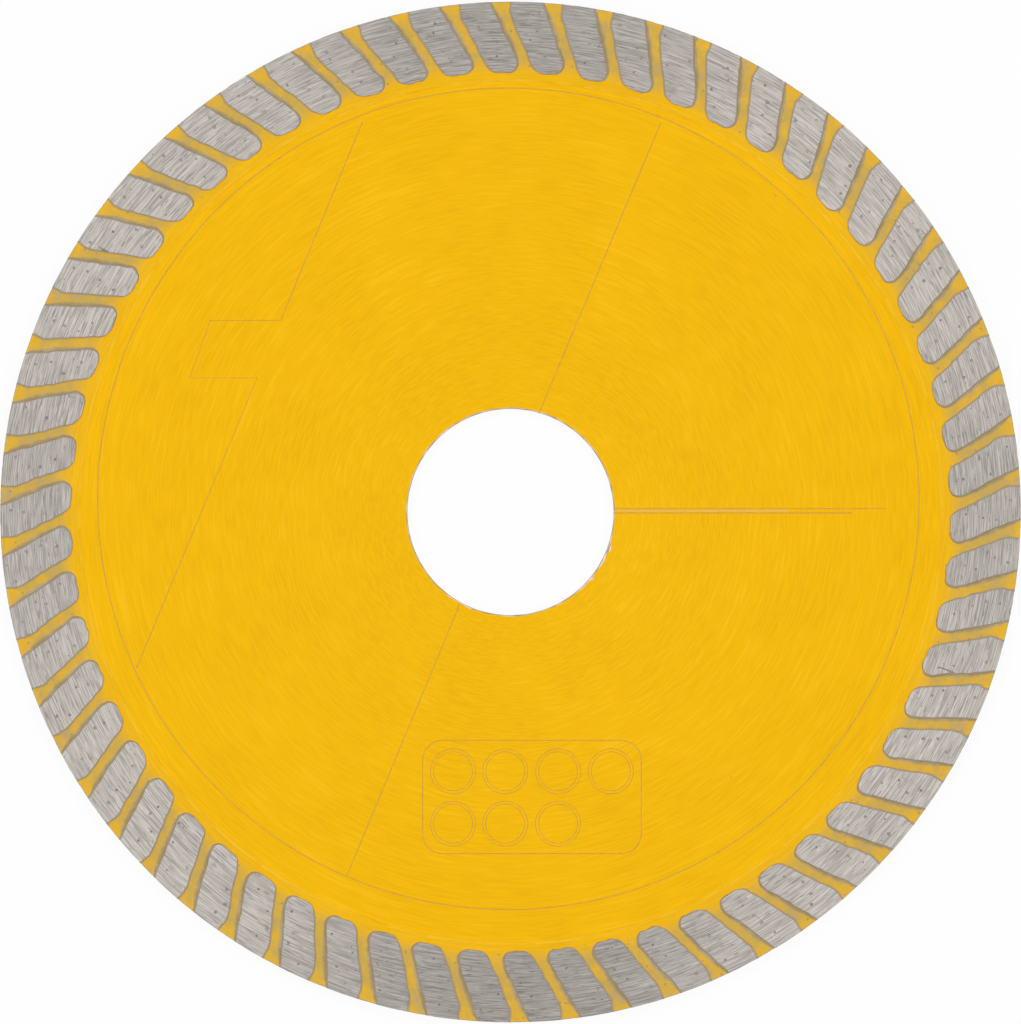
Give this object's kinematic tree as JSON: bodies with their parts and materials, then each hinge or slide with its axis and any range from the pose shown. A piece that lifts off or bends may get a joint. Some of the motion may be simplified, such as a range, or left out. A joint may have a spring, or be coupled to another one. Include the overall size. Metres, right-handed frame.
{
  "type": "diamond blade",
  "caption": "Flat round cutting blade for an angle grinder: painted steel core with a plain arbor bore and a continuous sintered rim with slanted ridges.",
  "frame": {"origin": "centre of the arbor bore, half way through the core's thickness", "axes": "+Z along the bore and out of the front face, +X and +Y in the blade's middle plane; seen from the front with +Y up the ridges lean counter-clockwise outwards"},
  "size_m": [0.11, 0.11, 0.0022],
  "materials": {
    "painted_steel": "satin yellow paint over tempered steel, with fine circular brush marks",
    "sintered_matrix": "sintered metal, ground bare on the ridges and painted yellow in the gullies",
    "diamond_grit": "dark diamond crystals ground level with the matrix"
  },
  "bodies": {
    "root": {"steel_core": "painted_steel", "turbo_rim": "sintered_matrix", "front_diamonds": "diamond_grit", "rear_diamonds": "diamond_grit", "edge_diamonds": "diamond_grit"}
  },
  "joints": []
}
